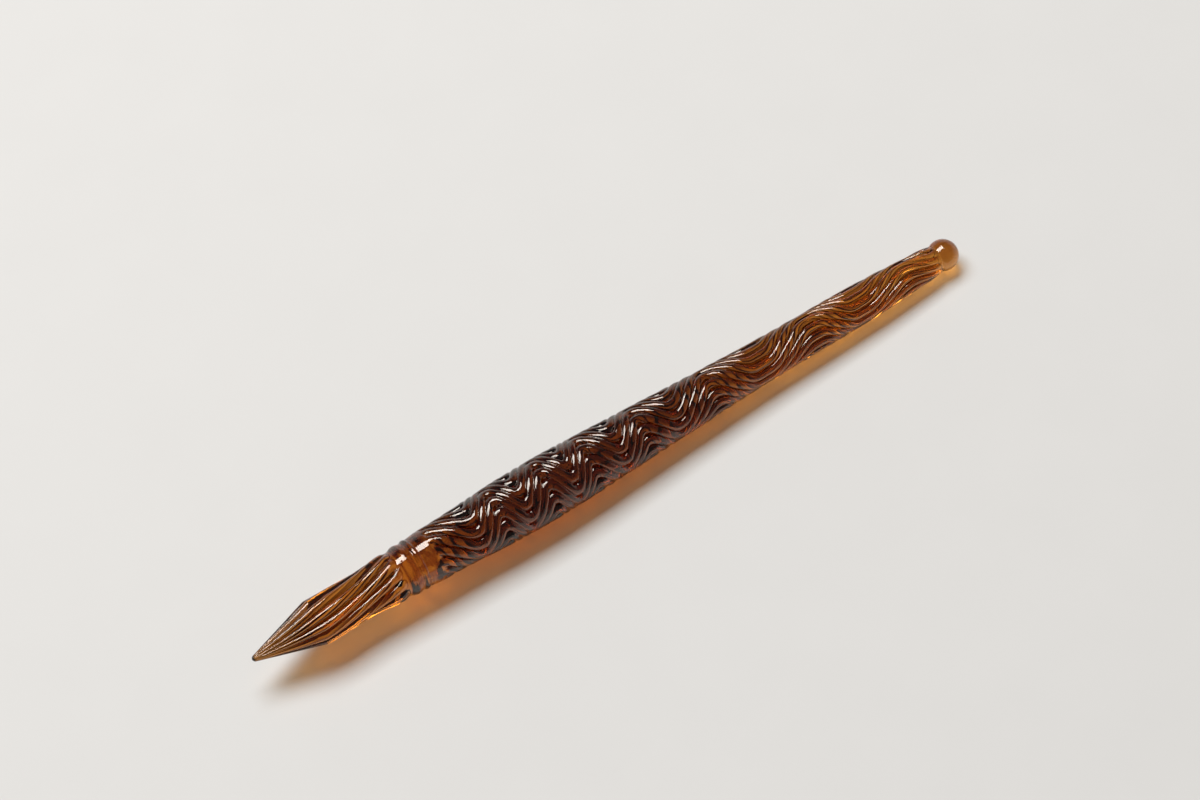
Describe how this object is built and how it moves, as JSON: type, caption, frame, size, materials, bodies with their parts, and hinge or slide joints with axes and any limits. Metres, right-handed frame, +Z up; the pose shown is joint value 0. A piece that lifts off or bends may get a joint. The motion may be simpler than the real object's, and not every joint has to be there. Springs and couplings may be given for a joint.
{
  "type": "glass dip pen",
  "caption": "Amber glass dip pen with a fluted nib drawn to a point, a beaded joint, a barrel of threads twisted back and forth, and a round end ball.",
  "frame": {"origin": "on the table under the middle of the lying pen: bottom centre of its bounding box", "axes": "+X along the pen from the nib to the end ball, +Z up, the pen lying on its belly and its tail with the nib in the air"},
  "size_m": [0.17, 0.013, 0.0132],
  "materials": {
    "nib_glass": "fire-polished clear honey-amber glass",
    "barrel_glass": "fire-polished amber glass that looks red-brown where it is thick",
    "ball_glass": "fire-polished clear honey-amber glass"
  },
  "bodies": {
    "root": {"nib": "nib_glass", "joint_bead": "nib_glass", "joint_ring": "barrel_glass", "neck": "barrel_glass", "core_rod": "barrel_glass", "barrel_thread_01": "barrel_glass", "barrel_thread_02": "barrel_glass", "barrel_thread_03": "barrel_glass", "barrel_thread_04": "barrel_glass", "barrel_thread_05": "barrel_glass", "barrel_thread_06": "barrel_glass", "barrel_thread_07": "barrel_glass", "barrel_thread_08": "barrel_glass", "barrel_thread_09": "barrel_glass", "barrel_thread_10": "barrel_glass", "barrel_thread_11": "barrel_glass", "barrel_thread_12": "barrel_glass", "end_ball": "ball_glass"}
  },
  "joints": []
}
